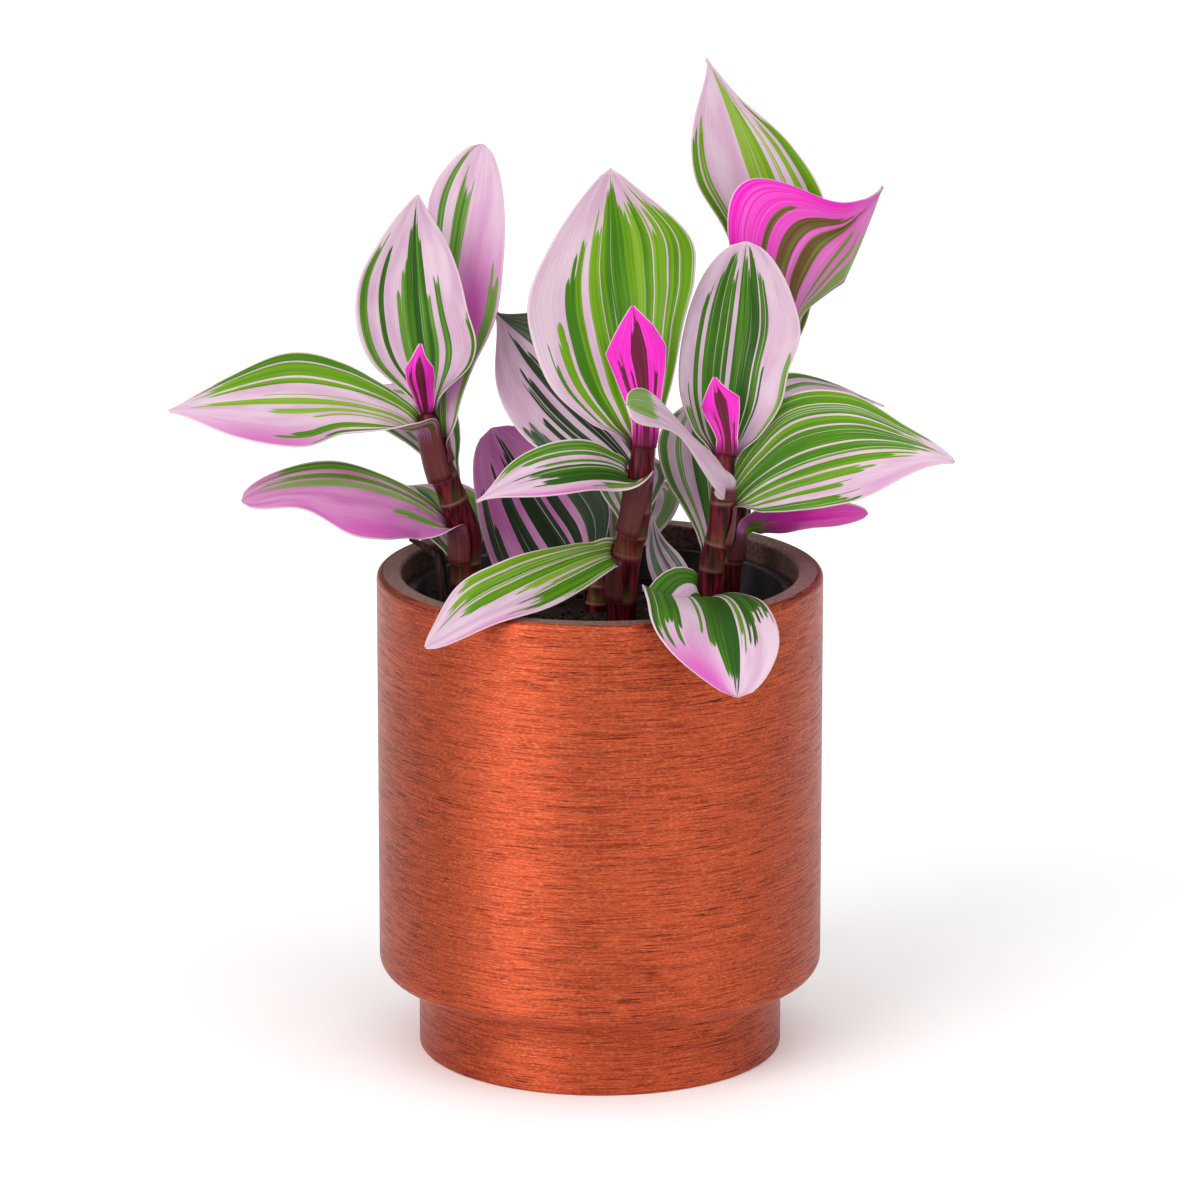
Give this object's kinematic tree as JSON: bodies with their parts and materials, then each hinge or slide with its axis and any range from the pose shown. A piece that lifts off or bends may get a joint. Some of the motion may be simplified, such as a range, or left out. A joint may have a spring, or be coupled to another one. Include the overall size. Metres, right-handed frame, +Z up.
{
  "type": "potted tradescantia",
  "caption": "Potted tradescantia: maroon jointed stems with pink and green striped leaves rise from potting mix in a stepped round copper-red pot.",
  "frame": {"origin": "centre of the pot's underside, on the surface it stands on", "axes": "+Z up; +X to the right of someone looking along +Y, from where the picture was taken"},
  "size_m": [0.2194, 0.1623, 0.2783],
  "materials": {
    "pot_copper": "brushed copper-red metallic coat with fine level scratches, greyer rim",
    "grow_pot_plastic": "dark brown-black moulded plastic, matt",
    "potting_mix": "rough dark bark and peat mix",
    "stem_maroon": "smooth dark maroon stem, olive at the nodes, slight gloss",
    "dried_brown": "dry wrinkled brown",
    "leaf_pink": "pale pink leaf with green stripes along it, soft satin",
    "leaf_green": "green leaf with pink and cream stripes along it, soft satin",
    "leaf_magenta": "bright magenta young leaf or underside with maroon stripes, satin"
  },
  "bodies": {
    "root": {"pot": "pot_copper", "grow_pot": "grow_pot_plastic", "soil": "potting_mix", "stem_left": "stem_maroon", "stem_middle": "stem_maroon", "stem_right": "stem_maroon", "stem_back_right": "stem_maroon", "stem_back": "stem_maroon", "dried_stalk": "dried_brown", "leaf_left_outer": "leaf_pink", "leaf_left_front": "leaf_pink", "leaf_left_tall": "leaf_pink", "leaf_left_low": "leaf_pink", "leaf_left_rear": "leaf_pink", "leaf_left_rear_low": "leaf_pink", "leaf_middle_front": "leaf_pink", "leaf_middle_low": "leaf_pink", "leaf_middle_striped": "leaf_pink", "leaf_middle_rear": "leaf_pink", "leaf_right_heart": "leaf_pink", "leaf_right_ribbon": "leaf_pink", "leaf_right_small": "leaf_pink", "leaf_right_rear": "leaf_pink", "leaf_top_upright": "leaf_pink", "leaf_far_rear": "leaf_pink", "leaf_far_rear_low": "leaf_pink", "leaf_back_broad": "leaf_pink", "leaf_back_rear": "leaf_pink", "leaf_middle_tall": "leaf_green", "leaf_right_tall": "leaf_green", "leaf_right_outer": "leaf_green", "leaf_top_tipped": "leaf_magenta", "leaf_right_under": "leaf_magenta", "bud_left": "leaf_magenta", "bud_middle": "leaf_magenta", "bud_right": "leaf_magenta"}
  },
  "joints": []
}
